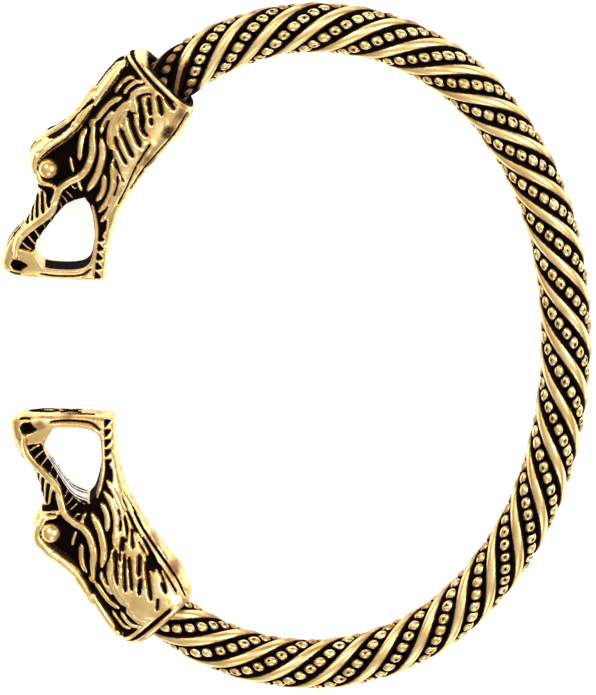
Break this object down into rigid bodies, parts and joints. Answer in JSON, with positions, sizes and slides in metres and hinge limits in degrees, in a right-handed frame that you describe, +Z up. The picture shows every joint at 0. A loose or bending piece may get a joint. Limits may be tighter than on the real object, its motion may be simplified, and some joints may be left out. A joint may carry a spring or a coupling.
{
  "type": "viking arm ring",
  "caption": "Open arm ring of twisted plain and beaded wires, ending in two open-mouthed animal heads that face each other across the gap.",
  "frame": {"origin": "middle of the ring's bounding box, on the surface that it lies on", "axes": "+Z up from the surface, +Y along the ring's longest side with the upper head at +Y, +X across the ring away from the opening between the heads"},
  "size_m": [0.0623, 0.0748, 0.0082],
  "materials": {
    "plain_wire": "polished gold-tone wire, darkened in the grooves of the twist",
    "beaded_wire": "polished gold-tone beads with black patina between them",
    "dark_core": "dark patina, seen only between the wires",
    "cast_heads": "cast gold tone, high spots polished and hollows filled with black patina"
  },
  "bodies": {
    "root": {"core_rod": "dark_core", "plain_wire_1": "plain_wire", "plain_wire_2": "plain_wire", "plain_wire_3": "plain_wire", "plain_wire_4": "plain_wire", "beaded_wire_1": "beaded_wire", "beaded_wire_2": "beaded_wire", "beaded_wire_3": "beaded_wire", "beaded_wire_4": "beaded_wire", "upper_head": "cast_heads", "lower_head": "cast_heads"}
  },
  "joints": []
}
